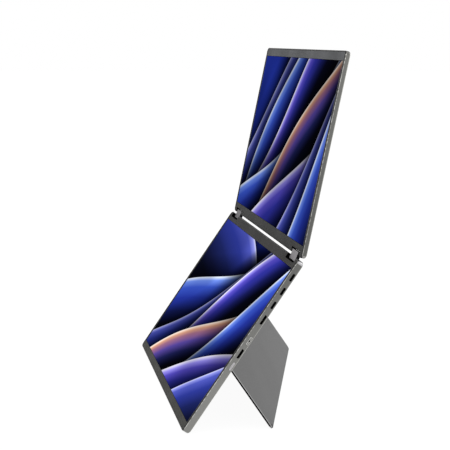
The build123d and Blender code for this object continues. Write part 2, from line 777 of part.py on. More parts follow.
def main():
    os.makedirs("parts", exist_ok=True)
    lower_notch = (lower_notch_low, lower_height + beyond)
    upper_notch = (-beyond, upper_notch_high)

    put_out("lower_back_shell", lower_place * lower_back_shell())
    put_out("lower_front_frame", lower_place * front_frame(lower_height, lower_foot_bezel, lower_notch))
    put_out("lower_cover_glass", lower_place * cover_glass(lower_foot_bezel))
    put_out("lower_display_panel", lower_place * display_panel(lower_foot_bezel))
    put_out("bottom_foot_strip", foot_strip())

    put_out("main_board", lower_place * main_board())
    put_out("board_shield", lower_place * board_shield())
    board_heads = (board_front - board_screw_head_height, board_front)
    board_tip = board_back + board_screw_length
    put_out("board_screws", lower_place * screw_group(board_screw_places(), board_heads, board_tip))
    ribbon_x = board_right - board_width / 2
    ribbon_s = board_top + ribbon_step
    put_out("lower_display_ribbon", lower_place * ribbon(ribbon_x, ribbon_s, board_gap))
    for name, height in usb_heights.items():
        spot = port_spot(height, port_depth) * Pos(0, 0, -port_lip - port_gap)
        put_out("usb_c_socket_" + name, lower_place * spot * socket(usb_outline, usb_width))
    for name, height in hdmi_heights.items():
        spot = port_spot(height, board_back + hdmi_thickness / 2) * Pos(0, 0, -port_lip - port_gap)
        put_out("mini_hdmi_socket_" + name, lower_place * spot * socket(hdmi_outline, hdmi_width))
    put_out("button_switches", lower_place * button_switches())
    power_spot = port_spot(power_height, port_depth)
    put_out("power_button", lower_place * power_spot * power_button())
    put_out("power_indicator_lens", lower_place * power_spot * power_indicator_lens())
    put_out("menu_button", lower_place * port_spot(menu_height, port_depth) * menu_button())

    put_out("upper_back_shell", upper_place * upper_back_shell())
    put_out("upper_front_frame", upper_place * front_frame(upper_height, upper_hinge_bezel, upper_notch))
    put_out("upper_cover_glass", upper_place * cover_glass(upper_hinge_bezel))
    put_out("upper_display_panel", upper_place * display_panel(upper_hinge_bezel))
    put_out("upper_driver_board", upper_place * upper_driver_board())
    upper_heads = (upper_board_front - board_screw_head_height, upper_board_front)
    upper_tip = upper_board_back + board_screw_length
    upper_screws = screw_group(upper_board_screw_places(), upper_heads, upper_tip)
    put_out("upper_board_screws", upper_place * upper_screws)
    upper_ribbon_s = upper_board_low + upper_board_height + ribbon_step
    put_out("upper_display_ribbon", upper_place * ribbon(0, upper_ribbon_s, upper_board_gap))

    sides = {"left": -1, "right": 1}
    for name, side in sides.items():
        put_out("hinge_link_" + name, link_place * hinge_link(side))
        put_out("lower_hinge_pin_" + name, link_place * placed_hinge_pin(side, 0))
        put_out("upper_hinge_pin_" + name, link_place * placed_hinge_pin(side, axis_distance))
        low_bracket = hinge_bracket(side, lower_axis_height, lower_axis_depth, lower_leaf_low)
        put_out("lower_hinge_bracket_" + name, lower_place * low_bracket)
        high_bracket = hinge_bracket(side, upper_axis_inset, upper_axis_depth, upper_leaf_low)
        put_out("upper_hinge_bracket_" + name, upper_place * high_bracket)
    lower_places = leaf_screw_places(-1, lower_leaf_low) + leaf_screw_places(1, lower_leaf_low)
    lower_leaf_front = lower_axis_depth + link_radius - leaf_thickness
    lower_heads = (lower_leaf_front - screw_head_height, lower_leaf_front)
    lower_screws = screw_group(lower_places, lower_heads, lower_skin_depth + screw_bite)
    put_out("lower_hinge_screws", lower_place * lower_screws)
    upper_places = leaf_screw_places(-1, upper_leaf_low) + leaf_screw_places(1, upper_leaf_low)
    upper_leaf_front = upper_axis_depth + link_radius - leaf_thickness
    upper_leaf_heads = (upper_leaf_front - screw_head_height, upper_leaf_front)
    upper_leaf_screws = screw_group(upper_places, upper_leaf_heads, upper_skin_depth + screw_bite)
    put_out("upper_hinge_screws", upper_place * upper_leaf_screws)

    put_out("kickstand_plate", kickstand_plate())
    stand_screws = []
    for name, centre in stand_knuckle_centres().items():
        put_out("kickstand_bracket_" + name, lower_place * hinge_line * stand_bracket(centre))
        put_out("kickstand_pin_" + name, stand_place * hinge_line * stand_pin(centre))
        stand_screws += stand_screw_places(centre)
    stand_heads = (-knuckle_radius - screw_head_height, -knuckle_radius)
    stand_tip = stand_thickness - skin + screw_bite
    stand_group = screw_group(stand_screws, stand_heads, stand_tip)
    put_out("kickstand_hinge_screws", lower_place * hinge_line * stand_group)


main()
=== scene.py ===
import json
import math

import bmesh
import bpy
from mathutils import Matrix, Vector


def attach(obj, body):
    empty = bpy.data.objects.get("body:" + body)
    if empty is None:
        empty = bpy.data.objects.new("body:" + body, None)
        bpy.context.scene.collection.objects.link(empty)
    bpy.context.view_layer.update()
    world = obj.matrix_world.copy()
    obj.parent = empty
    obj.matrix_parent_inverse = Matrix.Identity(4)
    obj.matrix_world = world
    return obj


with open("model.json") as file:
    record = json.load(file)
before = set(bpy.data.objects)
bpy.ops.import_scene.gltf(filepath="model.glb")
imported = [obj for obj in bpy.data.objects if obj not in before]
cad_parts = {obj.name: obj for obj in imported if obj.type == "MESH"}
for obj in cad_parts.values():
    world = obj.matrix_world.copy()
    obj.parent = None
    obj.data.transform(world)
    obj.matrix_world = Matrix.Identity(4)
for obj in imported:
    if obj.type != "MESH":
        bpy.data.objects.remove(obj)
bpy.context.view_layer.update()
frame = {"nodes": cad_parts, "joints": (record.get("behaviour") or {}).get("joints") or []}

# A folding two-screen portable monitor. The row frame is in metres. Every pattern is
# worked out in millimetres in a flat frame: x across, y up the body from its lower
# edge, z out of its front face, so the back lies at a negative z.
MM = 0.001
LOWER_LEAN = 55.19            # degrees up from the table
SCREEN_ANGLE = 156.9          # between the two screen faces
UPPER_LEAN = LOWER_LEAN + 180 - SCREEN_ANGLE
RIM_CHAMFER = 0.6             # cut edge round each front
SKIN = 1.0                    # rear wall of both trays
NOTCH_INNER = 116.0           # where the hinge notches start and end, from the middle
NOTCH_OUTER = 146.0
NOTCH_REACH = 6.0             # how far in from the hinge edge they are painted
STAND_ROUND = 0.4             # rounded rear edge of the stand plate
BUTTON_HALF_WIDTH = 1.2
BUTTON_FLANGE = 0.9           # hidden flange beyond each end of a button's cap
OVAL_INSIDE = 0.25            # light oval round a button, from the edge of its cap
OVAL_OUTSIDE = 0.3

SOFT = 0.05                   # half the width of a mask's soft edge
PAST = 1.0                    # how far a mask runs on beyond a piece's last edge
NOISE_LOW = 0.3               # nearly all of a noise lies between these two
NOISE_HIGH = 0.7


# Flat frames

def flat_points(node, place):
    """Corner points of a node in a flat frame, in metres."""
    flat = place.inverted()
    return [flat @ v.co for v in frame["nodes"][node].data.vertices]


def flat_box(node, place):
    """Lowest and highest corner of a node in a flat frame, in millimetres."""
    points = flat_points(node, place)
    low = Vector([min(p[i] for p in points) for i in range(3)]) / MM
    high = Vector([max(p[i] for p in points) for i in range(3)]) / MM
    return low, high


def flat_frame(node, lean):
    """Matrix from a leaning piece's flat frame, in metres, to the row frame."""
    turn = Matrix.Rotation(math.radians(lean), 4, "X")
    points = flat_points(node, turn)
    low = min(p.y for p in points)
    front = max(p.z for p in points)
    return turn @ Matrix.Translation((0, low, front))


def shut_stand_frame():
    """Flat frame of the lower half, carried along as the stand swings from shut to rest."""
    joint = next(j for j in frame["joints"] if j["name"] == "kickstand_turn")
    pivot = Matrix.Translation(joint["pos_m"])
    swing = Matrix.Rotation(math.radians(-joint["range_deg"][0]), 4, Vector(joint["axis"]))
    return pivot @ swing @ pivot.inverted() @ LOWER


LOWER = flat_frame("lower_back_shell", LOWER_LEAN)
UPPER = flat_frame("upper_back_shell", UPPER_LEAN)
HALVES = {"lower": LOWER, "upper": UPPER}
LINK = flat_frame("hinge_link_right", (LOWER_LEAN + UPPER_LEAN) / 2)
STAND = shut_stand_frame()


# Colours, nodes and masks

def colour(code):
    """Linear colour of an sRGB hex value."""
    parts = [int(code[i:i + 2], 16) / 255 for i in (1, 3, 5)]
    linear = [p / 12.92 if p <= 0.04045 else ((p + 0.055) / 1.055) ** 2.4 for p in parts]
    return (*linear, 1.0)


def feed(node, inputs):
    """Give each input, by its name or number, a value or a link. A node that is given
    stands for its first output in use."""
    for key, value in inputs.items():
        if isinstance(value, bpy.types.Node):
            value = next(output for output in value.outputs if output.enabled)
        if isinstance(value, bpy.types.NodeSocket):
            node.id_data.links.new(value, node.inputs[key])
        else:
            node.inputs[key].default_value = value


def add(tree, kind, inputs=None, **settings):
    """Add one node with its settings and its inputs."""
    node = tree.nodes.new(kind if "Node" in kind else "ShaderNode" + kind)
    for name, value in settings.items():
        setattr(node, name, value)
    feed(node, inputs or {})
    return node


def new_material(name, metallic=0.0, specular=0.5):
    """New material, its tree and its surface shader."""
    made = bpy.data.materials.new(name)
    made.use_nodes = True
    shader = made.node_tree.nodes["Principled BSDF"]
    feed(shader, {"Metallic": metallic, "Specular IOR Level": specular})
    return made, made.node_tree, shader


def dress(shader, body, rough, height, depth, strength=0.3):
    """Give a surface its colour, its roughness and a relief, whose height from 0 to 1
    stands for a depth in millimetres."""
    bump = {"Strength": strength, "Distance": depth * MM, "Height": height}
    normal = add(shader.id_data, "Bump", bump)
    feed(shader, {"Base Color": body, "Roughness": rough, "Normal": normal})


def flat_millimetres(tree, place):
    """Object coordinates in millimetres in a flat frame."""
    inputs = {
        "Vector": add(tree, "TexCoord").outputs["Object"],
        "Location": place.to_translation(),
        "Rotation": place.to_euler(),
        "Scale": (MM, MM, MM),
    }
    return add(tree, "Mapping", inputs, vector_type="TEXTURE")


def grain(tree, where, size, low=0.0, high=1.0, detail=2.0, stretch=(1, 1, 1)):
    """Noise with grains of a size in millimetres, spread from low to high."""
    scale = [share / size for share in stretch]
    scaled = add(tree, "VectorMath", {0: where, 1: scale}, operation="MULTIPLY")
    spread = {
        "Value": add(tree, "TexNoise", {"Vector": scaled, "Scale": 1.0, "Detail": detail}),
        "From Min": NOISE_LOW,
        "From Max": NOISE_HIGH,
        "To Min": low,
        "To Max": high,
    }
    return add(tree, "MapRange", spread, interpolation_type="SMOOTHSTEP")


def both(tree, *masks):
    """Mask that is 1 where all the masks are."""
    product = masks[0]
    for mask in masks[1:]:
        product = add(tree, "Math", {0: product, 1: mask}, operation="MULTIPLY")
    return product


def within(tree, value, low, high, soft=SOFT):
    """Mask that is 1 while a value lies from low to high, with soft edges."""
    steps = []
    for edge, before, after in ((low, 0.0, 1.0), (high, 1.0, 0.0)):
        step = {
            "Value": value,
            "From Min": edge - soft,
            "From Max": edge + soft,
            "To Min": before,
            "To Max": after,
        }
        steps.append(add(tree, "MapRange", step))
    return both(tree, *steps)


def painted(tree, under, *layers):
    """Colour with each (mask, colour) layer laid over it in turn. A colour is a hex
    value, a node or a socket."""
    for mask, over in layers:
        pair = [colour(tone) if isinstance(tone, str) else tone for tone in (under, over)]
        inputs = {"Factor": mask, "A": pair[0], "B": pair[1]}
        under = add(tree, "Mix", inputs, data_type="RGBA")
    return under


def hinge_notches(tree, half):
    """Mask of the walls in a half's hinge notches, below its front and above its skin."""
    low, high = flat_box(f"{half}_back_shell", HALVES[half])
    where = flat_millimetres(tree, HALVES[half])
    axes = add(tree, "SeparateXYZ", {"Vector": where}).outputs
    across = add(tree, "Math", {0: axes["X"]}, operation="ABSOLUTE")
    # the hinge edge is the high edge of the lower half and the low one of the upper half
    if half == "lower":
        reach = (high.y - NOTCH_REACH, high.y + PAST)
    else:
        reach = (-PAST, NOTCH_REACH)
    return both(
        tree,
        within(tree, across, NOTCH_INNER - 0.1, NOTCH_OUTER + 0.1, 0.02),
        within(tree, axes["Y"], *reach),
        within(tree, axes["Z"], low.z + SKIN - 0.05, -0.02, 0.02),
    )


# Metals of the outside

BEAD_MARK = 0.45              # bead marks are 0.1 mm; drawn this coarse so that they show
BEAD_RELIEF = (0.03, 0.2)     # depth and strength
DYE_PATCH = 60.0              # the dye takes a little unevenly over patches of this size
EDGE_HIGHLIGHT = 0.9               # painted highlight along the rear round of the long sides
EDGE_HIGHLIGHT_START = 0.1         # in front of the rear face
EDGE_HIGHLIGHT_REACH = 1.6         # how far it goes in from the side
CUT_HIGHLIGHT_STRETCH = 3.4             # the painted highlight on the cut comes in short stretches
HINGE_WALL = 0.7              # end wall of each tray at the hinge, given painted shade
CORNER_HIGHLIGHT_START = 0.8            # painted highlight on the corner of each side face, from the hinge edge
CORNER_HIGHLIGHT_END = {"lower": 3.7, "upper": 2.9}
CORNER_HIGHLIGHT_REACH = 6.0            # how far it goes in from the side
CORNER_HIGHLIGHT = {"lower": "#BEBDBF", "upper": "#9F9E9B"}
# Painted light along the side faces: the lower ones darken towards the hinge and the
# upper ones lighten towards the top. The places are where that starts and ends, as shares
# of a half's height; the tones are those at these two places.
SIDE_PAINTED_LIGHT = {"lower": (0.25, 0.85, 1.0, 0.64), "upper": (0.3, 1.0, 0.82, 1.30)}
STAND_SHADE_FALL = 110.0            # over which painted shade darkens the stand, from its foot up
STAND_HIGHLIGHT = 2.8              # its painted highlight line ends this far in from its side
FOOT_TIP = 4.2                # dark tip of the stand's foot
FOOT_STRIP = 8.0              # the tip is the lowest point this near the stand's side
SEAT_BLACK = "#18181A"
# black painted shade on the walls in the hinge notches
NOTCH_SHADE = "#060607"


def blasted_grey(tree, where, dark, light):
    """Colour, roughness and marks of aluminium after glass beads and grey anodising."""
    marks = grain(tree, where, BEAD_MARK)
    dye = grain(tree, where, DYE_PATCH, 0.25, 0.75)
    shade = grain(tree, where, BEAD_MARK, 0.95, 1.04)
    dyed = painted(tree, dark, (dye, light))
    body = add(tree, "VectorMath", {0: dyed, "Scale": shade}, operation="SCALE")
    rough = grain(tree, where, BEAD_MARK, 0.42, 0.50)
    return body, rough, marks


def blasted_shell(half, dark, light, rim_shade):
    """Bead-blasted, anodised aluminium tray of an even satin grey. Painted on it are a
    highlight on the cut along both long sides, a highlight line along their rear round, a
    highlight on the corner at the hinge, dark painted shade on the front chamfer and the
    hinge wall, and black painted shade in the notches. Painted light also darkens the lower
    sides towards the hinge and lightens the upper ones towards the top."""
    made, tree, shader = new_material(f"bead_blasted_aluminium_{half}", metallic=1.0)
    where = flat_millimetres(tree, HALVES[half])
    low, high = flat_box(f"{half}_back_shell", HALVES[half])
    axes = add(tree, "SeparateXYZ", {"Vector": where}).outputs
    across = add(tree, "Math", {0: axes["X"]}, operation="ABSOLUTE")
    body, rough, marks = blasted_grey(tree, where, dark, light)
    # painted light along the side faces: darker towards the hinge below, lighter towards the
    # top above
    start, end, first, last = SIDE_PAINTED_LIGHT[half]
    painted_light_slide = {
        "Value": axes["Y"],
        "From Min": start * high.y,
        "From Max": end * high.y,
        "To Min": first,
        "To Max": last,
    }
    fall = add(tree, "MapRange", painted_light_slide)
    # painted highlight on the cut along the long sides, in short stretches
    cut = painted(tree, "#7C7B77", (grain(tree, where, CUT_HIGHLIGHT_STRETCH), "#D6D5D0"))
    side_light_tone, rear_highlight_tone, cut_highlight_tone = [
        add(tree, "VectorMath", {0: tone, "Scale": fall}, operation="SCALE")
        for tone in (body, colour("#B9B8B2")[:3], cut)
    ]
    side = within(tree, across, high.x - 0.2, high.x + PAST, 0.1)
    # painted highlight along the rear round of each long side
    highlight_low = low.z + EDGE_HIGHLIGHT_START
    rear_highlight = both(
        tree,
        within(tree, axes["Z"], highlight_low, highlight_low + EDGE_HIGHLIGHT, 0.15),
        within(tree, across, high.x - EDGE_HIGHLIGHT_REACH, high.x + PAST, 0.2),
    )
    # painted shade on the front chamfer, in the dark tone given for it
    front = within(tree, axes["Z"], -RIM_CHAMFER, PAST, 0.03)
    side_cut_highlight = both(
        tree,
        within(tree, axes["Z"], -RIM_CHAMFER, -0.3 * RIM_CHAMFER, 0.03),
        within(tree, across, high.x - RIM_CHAMFER, high.x + PAST, 0.03),
    )
    # how far a place lies in from the hinge edge: the lower half's high edge
    sign, edge = (-1.0, high.y) if half == "lower" else (1.0, 0.0)
    inward = {0: axes["Y"], 1: sign, 2: edge}
    from_hinge = add(tree, "Math", inward, operation="MULTIPLY_ADD")
    # the hinge wall gets the same painted shade
    hinge_wall = within(tree, from_hinge, -PAST, HINGE_WALL)
    # painted highlight on the corner of each side face at the hinge
    corner = both(
        tree,
        within(tree, from_hinge, CORNER_HIGHLIGHT_START, CORNER_HIGHLIGHT_END[half], 0.2),
        within(tree, across, high.x - CORNER_HIGHLIGHT_REACH, high.x + PAST, 0.1),
        within(tree, axes["Z"], low.z + 0.2, -RIM_CHAMFER),
    )
    body = painted(
        tree,
        body,
        (side, side_light_tone),
        (rear_highlight, rear_highlight_tone),
        (corner, CORNER_HIGHLIGHT[half]),
        (hinge_wall, rim_shade),
        (front, rim_shade),
        (side_cut_highlight, cut_highlight_tone),
        (hinge_notches(tree, half), NOTCH_SHADE),
    )
    cut_rough = add(tree, "Math", {0: side_cut_highlight, 1: -0.2, 2: rough}, operation="MULTIPLY_ADD")
    dress(shader, body, cut_rough, marks, *BEAD_RELIEF)
    return made


def blasted_stand():
    """Bead-blasted, anodised aluminium plate of a plain mid grey, with painted shade that
    makes it a little darker towards the hinge, near-black painted shade on its sheared
    sides, a thin painted highlight along them on the rounded edge and a dark tip at the
    near end of the foot."""
    made, tree, shader = new_material("bead_blasted_aluminium_plate", metallic=1.0)
    where = flat_millimetres(tree, STAND)
    low, high = flat_box("kickstand_plate", STAND)
    points = [p / MM for p in flat_points("kickstand_plate", STAND)]
    near_side = [p for p in points if p.x > high.x - FOOT_STRIP]
    near_foot = min(near_side, key=lambda p: p.y)
    axes = add(tree, "SeparateXYZ", {"Vector": where}).outputs
    across = add(tree, "Math", {0: axes["X"]}, operation="ABSOLUTE")
    body, rough, marks = blasted_grey(tree, where, "#595959", "#616161")
    # painted shade: the plate darkens from its foot towards the hinge
    painted_light_slide = {
        "Value": axes["Y"],
        "From Min": low.y,
        "From Max": low.y + STAND_SHADE_FALL,
        "To Min": 1.0,
        "To Max": 0.82,
    }
    fall = add(tree, "MapRange", painted_light_slide)
    body = add(tree, "VectorMath", {0: body, "Scale": fall}, operation="SCALE")
    # painted shade: the sides near-black
    side = within(tree, across, high.x - STAND_ROUND, high.x + PAST, 0.04)
    # painted highlight along the rounded edge beside each side
    edge_highlight = within(tree, across, high.x - STAND_HIGHLIGHT, high.x - STAND_ROUND, 0.2)
    from_foot = add(tree, "VectorMath", {0: where, 1: near_foot}, operation="DISTANCE")
    tip = within(tree, from_foot.outputs["Value"], -PAST, FOOT_TIP, 0.4)
    body = painted(tree, body, (edge_highlight, "#9A9A9A"), (side, "#0E0E0E"), (tip, "#1C1C1C"))
    dress(shader, body, rough, marks, *BEAD_RELIEF)
    return made


def button_metal(name, node, dark, light, ring, seat=None):
    """Bead-blasted button: a satin face with a light cut oval round it and, where it
    carries the lens, a dark seat of a given radius in its middle."""
    made, tree, shader = new_material(name, metallic=1.0)
    where = flat_millimetres(tree, LOWER)
    low, high = flat_box(node, LOWER)
    middle = (low + high) / 2
    half_length = (high.y - low.y) / 2 - BUTTON_FLANGE
    axes = add(tree, "SeparateXYZ", {"Vector": where}).outputs
    body, rough, marks = blasted_grey(tree, where, dark, light)
    # distance from the line that joins the middles of the oval's two round ends
    line = half_length - BUTTON_HALF_WIDTH
    off_y = add(tree, "Math", {0: axes["Y"], 1: middle.y}, operation="SUBTRACT")
    off_y = add(tree, "Math", {0: off_y}, operation="ABSOLUTE")
    off_y = add(tree, "Math", {0: off_y, 1: line}, operation="SUBTRACT")
    off_y = add(tree, "Math", {0: off_y, 1: 0.0}, operation="MAXIMUM")
    off_z = add(tree, "Math", {0: axes["Z"], 1: middle.z}, operation="SUBTRACT")
    beside = add(tree, "CombineXYZ", {"X": off_y, "Y": off_z})
    far = add(tree, "VectorMath", {0: beside}, operation="LENGTH").outputs["Value"]
    oval = (BUTTON_HALF_WIDTH - OVAL_INSIDE, BUTTON_HALF_WIDTH + OVAL_OUTSIDE)
    layers = [(within(tree, far, *oval, 0.08), ring)]
    if seat:
        centre = Vector((high.x, middle.y, middle.z))
        off = add(tree, "VectorMath", {0: where, 1: centre}, operation="DISTANCE")
        layers.append((within(tree, off.outputs["Value"], -PAST, seat, 0.08), SEAT_BLACK))
    dress(shader, painted(tree, body, *layers), rough, marks, *BEAD_RELIEF)
    return made


def plain_metal(name, dark, light, rough, size, stretch=(1, 1, 1)):
    """Metal whose tone and gloss follow one fine grain, stretched where it is brushed."""
    made, tree, shader = new_material(name, metallic=1.0)
    where = flat_millimetres(tree, LOWER)
    tone = grain(tree, where, size, stretch=stretch)
    gloss = grain(tree, where, size, rough - 0.05, rough + 0.05, stretch=stretch)
    slow = grain(tree, where, 14.0, 0.0, 0.35)
    body = painted(tree, dark, (tone, light), (slow, dark))
    dress(shader, body, gloss, tone, 0.02)
    return made


def cast_link(side, dark, light):
    """Satin die-cast zinc block: grey broad faces, with near-black painted shade where it
    faces its notches.
    """
    made, tree, shader = new_material(f"satin_die_cast_zinc_{side}", metallic=1.0)
    where = flat_millimetres(tree, LINK)
    low, high = flat_box(f"hinge_link_{side}", LINK)
    axes = add(tree, "SeparateXYZ", {"Vector": where}).outputs
    tone = grain(tree, where, 0.5)
    slow = grain(tree, where, 6.0, 0.9, 1.08)
    rough = grain(tree, where, 0.5, 0.40, 0.50)
    grey = painted(tree, dark, (tone, light))
    grey = add(tree, "VectorMath", {0: grey, "Scale": slow}, operation="SCALE")
    # painted shade on the end faces, which face the notches; the broad faces keep the grey
    face = both(
        tree,
        within(tree, axes["X"], low.x + 0.1, high.x - 0.1, 0.03),
        within(tree, axes["Y"], low.y + 0.35, high.y - 0.35, 0.03),
    )
    dress(shader, painted(tree, "#151516", (face, grey)), rough, tone, 0.02)
    return made


# Plastics, rubber and film

ETCHED_SPECK = 0.5            # etched texture is 0.15 mm; drawn this coarse so that it shows
MOULD_FLOW = 38.0             # slow change of tone from the plastic's flow
BEZEL_SHADE = 2.2             # painted shade: a dark strip of each bezel along its long sides
TRACK_PITCH = 1.2             # board tracks are 0.15 mm wide and 0.4 mm apart; drawn
TRACK_SHARE = 0.3             # 0.36 mm wide and 1.2 mm apart so that they show
VIA_PITCH = 3.4
FILM_PITCH = 0.8              # film tracks are 0.3 mm apart; drawn coarser so that they show
FILM_SHARE = 0.5


def etched_bezel(half, low_end_light, high_end_light):
    """Moulded polycarbonate with a fine etched texture: dark warm grey with hardly any
    gloss. Painted light changes its tone from one end to the other: a little cooler and
    lighter towards the far end of the upper half, darker towards the hinge of the lower half."""
    made, tree, shader = new_material(f"etched_polycarbonate_{half}", specular=0.05)
    where = flat_millimetres(tree, HALVES[half])
    low, high = flat_box(f"{half}_front_frame", HALVES[half])
    axes = add(tree, "SeparateXYZ", {"Vector": where}).outputs
    speck = grain(tree, where, ETCHED_SPECK, 0.84, 1.18, detail=3.0)
    flow = grain(tree, where, MOULD_FLOW, 0.86, 1.14)
    # painted light: the tone runs from the low end's colour to the high end's
    ends = {"Value": axes["Y"], "From Min": low.y, "From Max": high.y}
    body = painted(tree, low_end_light, (add(tree, "MapRange", ends), high_end_light))
    for tone in (speck, flow):
        body = add(tree, "VectorMath", {0: body, "Scale": tone}, operation="SCALE")
    across = add(tree, "Math", {0: axes["X"]}, operation="ABSOLUTE")
    # painted shade along the long sides
    side = within(tree, across, high.x - BEZEL_SHADE, high.x + PAST, 0.3)
    body = painted(tree, body, (side, "#191918"), (hinge_notches(tree, half), NOTCH_SHADE))
    dress(shader, body, grain(tree, where, ETCHED_SPECK, 0.56, 0.66), speck, 0.03)
    return made


def moulded(name, dark, light, rough, size, depth=0.02, specular=0.4):
    """Moulded or coated piece with a fine grain and a slow change of tone."""
    made, tree, shader = new_material(name, specular=specular)
    where = flat_millimetres(tree, LOWER)
    tone = grain(tree, where, size, detail=3.0)
    slow = grain(tree, where, 9.0, 0.0, 0.4)
    gloss = grain(tree, where, size, rough - 0.06, rough + 0.06)
    body = painted(tree, dark, (tone, light), (slow, dark))
    dress(shader, body, gloss, tone, depth)
    return made


def stripes(tree, along, pitch, share):
    """Mask of lines a pitch apart that cover a share of it."""
    cycle = add(tree, "Math", {0: along, 1: pitch / 2}, operation="PINGPONG")
    step = {
        "Value": cycle,
        "From Min": pitch * share / 2 - SOFT,
        "From Max": pitch * share / 2 + SOFT,
        "To Min": 1.0,
        "To Max": 0.0,
    }
    return add(tree, "MapRange", step)


def solder_mask(name, place):
    """Epoxy board under green-black solder mask: faint raised tracks in both
    directions, with small tin rings round the vias."""
    made, tree, shader = new_material(name, specular=0.5)
    where = flat_millimetres(tree, place)
    axes = add(tree, "SeparateXYZ", {"Vector": where}).outputs
    region = grain(tree, where, 7.0, detail=0.0)
    upright = stripes(tree, axes["X"], TRACK_PITCH, TRACK_SHARE)
    level = stripes(tree, axes["Y"], TRACK_PITCH, TRACK_SHARE)
    lines = painted(tree, upright, (region, level))
    cells = add(tree, "TexVoronoi", {"Vector": where, "Scale": 1 / VIA_PITCH})
    # from the middle of a via, as shares of the pitch
    ring = within(tree, cells.outputs["Distance"], 0.09, 0.17, 0.02)
    body = painted(tree, "#0A1C17", (grain(tree, where, 1.0), "#0F2A21"))
    body = painted(tree, body, (lines, "#1C4A39"), (ring, "#B5B2A6"))
    dress(shader, body, 0.38, lines, 0.03)
    feed(shader, {"Metallic": ring})
    return made


def copper_film(name, place):
    """Polyimide film, amber and glossy, with copper tracks running its length."""
    made, tree, shader = new_material(name, specular=0.5)
    where = flat_millimetres(tree, place)
    axes = add(tree, "SeparateXYZ", {"Vector": where}).outputs
    tracks = stripes(tree, axes["X"], FILM_PITCH, FILM_SHARE)
    body = painted(tree, "#8A531B", (grain(tree, where, 2.0), "#A5682A"), (tracks, "#6B3B17"))
    dress(shader, body, grain(tree, where, 2.0, 0.22, 0.32), tracks, 0.03)
    return made


# The picture on the screens: folds of silk-like light at night, of the builder's own
# layout. Each ramp gives a fold's colours from its crest, at 0, to its end, at 1.
RAMPS = {
    "violet": (
        (0.0, "#F8F6FF"), (0.035, "#D8D3FF"), (0.09, "#988EF0"), (0.20, "#574DC2"),
        (0.40, "#2E3098"), (0.72, "#161B58"), (1.0, "#080A20"),
    ),
    "blue": (
        (0.0, "#EFF5FF"), (0.035, "#C0D2FF"), (0.08, "#7090EE"), (0.22, "#3854C4"),
        (0.45, "#1F2F90"), (0.74, "#10184E"), (1.0, "#06091C"),
    ),
    "warm": (
        (0.0, "#FFF5EE"), (0.04, "#F0CDB6"), (0.10, "#CE967C"), (0.21, "#97667F"),
        (0.42, "#504090"), (0.68, "#1E2258"), (1.0, "#080A20"),
    ),
    "dusk": (
        (0.0, "#D0D3F8"), (0.035, "#8B91E2"), (0.11, "#4C55B6"), (0.30, "#2A358E"),
        (0.58, "#182056"), (0.82, "#0E1232"), (1.0, "#060918"),
    ),
}
# Each fold is (turn in degrees, offset, swing, length, phase, fall, ramp), in
# millimetres and radians, from the rearmost to the nearest.
FOLDS = {
    "upper": (
        (40.0, 88.0, 12.0, 84.0, 0.6, 96.0, "dusk"),
        (54.0, 62.0, 16.0, 70.0, 2.2, 74.0, "blue"),
        (46.0, 34.0, 10.0, 58.0, 5.6, 52.0, "violet"),
        (32.0, 6.0, 20.0, 88.0, 4.4, 60.0, "blue"),
        (42.0, -22.0, 12.0, 64.0, 1.0, 46.0, "warm"),
        (34.0, -52.0, 16.0, 96.0, 3.1, 62.0, "violet"),
        (50.0, -84.0, 12.0, 70.0, 5.0, 58.0, "dusk"),
        (60.0, -116.0, 10.0, 70.0, 5.3, 60.0, "blue"),
    ),
    "lower": (
        (-18.0, 74.0, 14.0, 84.0, 1.8, 90.0, "dusk"),
        (26.0, 52.0, 18.0, 92.0, 3.6, 66.0, "blue"),
        (38.0, 26.0, 12.0, 70.0, 5.1, 50.0, "dusk"),
        (44.0, 0.0, 14.0, 66.0, 0.2, 50.0, "violet"),
        (34.0, -26.0, 16.0, 80.0, 2.9, 48.0, "warm"),
        (46.0, -54.0, 12.0, 72.0, 4.9, 56.0, "blue"),
        (24.0, -80.0, 12.0, 90.0, 0.9, 60.0, "violet"),
        (40.0, -112.0, 10.0, 74.0, 2.4, 60.0, "dusk"),
    ),
}
GLOW = {"upper": 0.78, "lower": 1.25}
GLEAM_STRETCH = 85.0          # a crest gleams over some stretches and fades over others
FADED_LIGHT = 0.40            # light that is left on a crest where it fades
SHADE_WIDTH = 34.0            # how far a fold darkens what lies behind it
SHADE_LIGHT = 0.12            # light that is left in that shade next to the crest
FOLD_END = 1000.0             # beyond the screen
HAZE_PATCH = 110.0            # slow change of tone of the night behind the folds
PIXEL_WEAVE = 0.6             # pixels are 0.16 mm apart; drawn this coarse so that they show
UNLIT_EDGE = 0.25             # of the cover glass, round the lit picture


def fold_light(tree, turned, below, fall, stops):
    """Light of one fold, from its crest down to where it has fallen away to night blue."""
    depth = {"Value": below, "From Min": 0.0, "From Max": fall}
    light = add(tree, "ValToRGB", {0: add(tree, "MapRange", depth)})
    elements = light.color_ramp.elements
    while len(elements) < len(stops):
        elements.new(1.0)
    for element, (position, code) in zip(elements, stops):
        element.position = position
        element.color = colour(code)
    fades = grain(tree, turned, GLEAM_STRETCH, 0.0, 0.7, detail=0.0)
    # half way down the fold its light is whole again
    regained = {
        "Value": below,
        "From Min": 0.0,
        "From Max": 0.5 * fall,
        "To Min": FADED_LIGHT,
        "To Max": 1.0,
    }
    share = add(tree, "MapRange", regained)
    faded = add(tree, "VectorMath", {0: light, "Scale": share}, operation="SCALE")
    return painted(tree, light, (fades, faded))


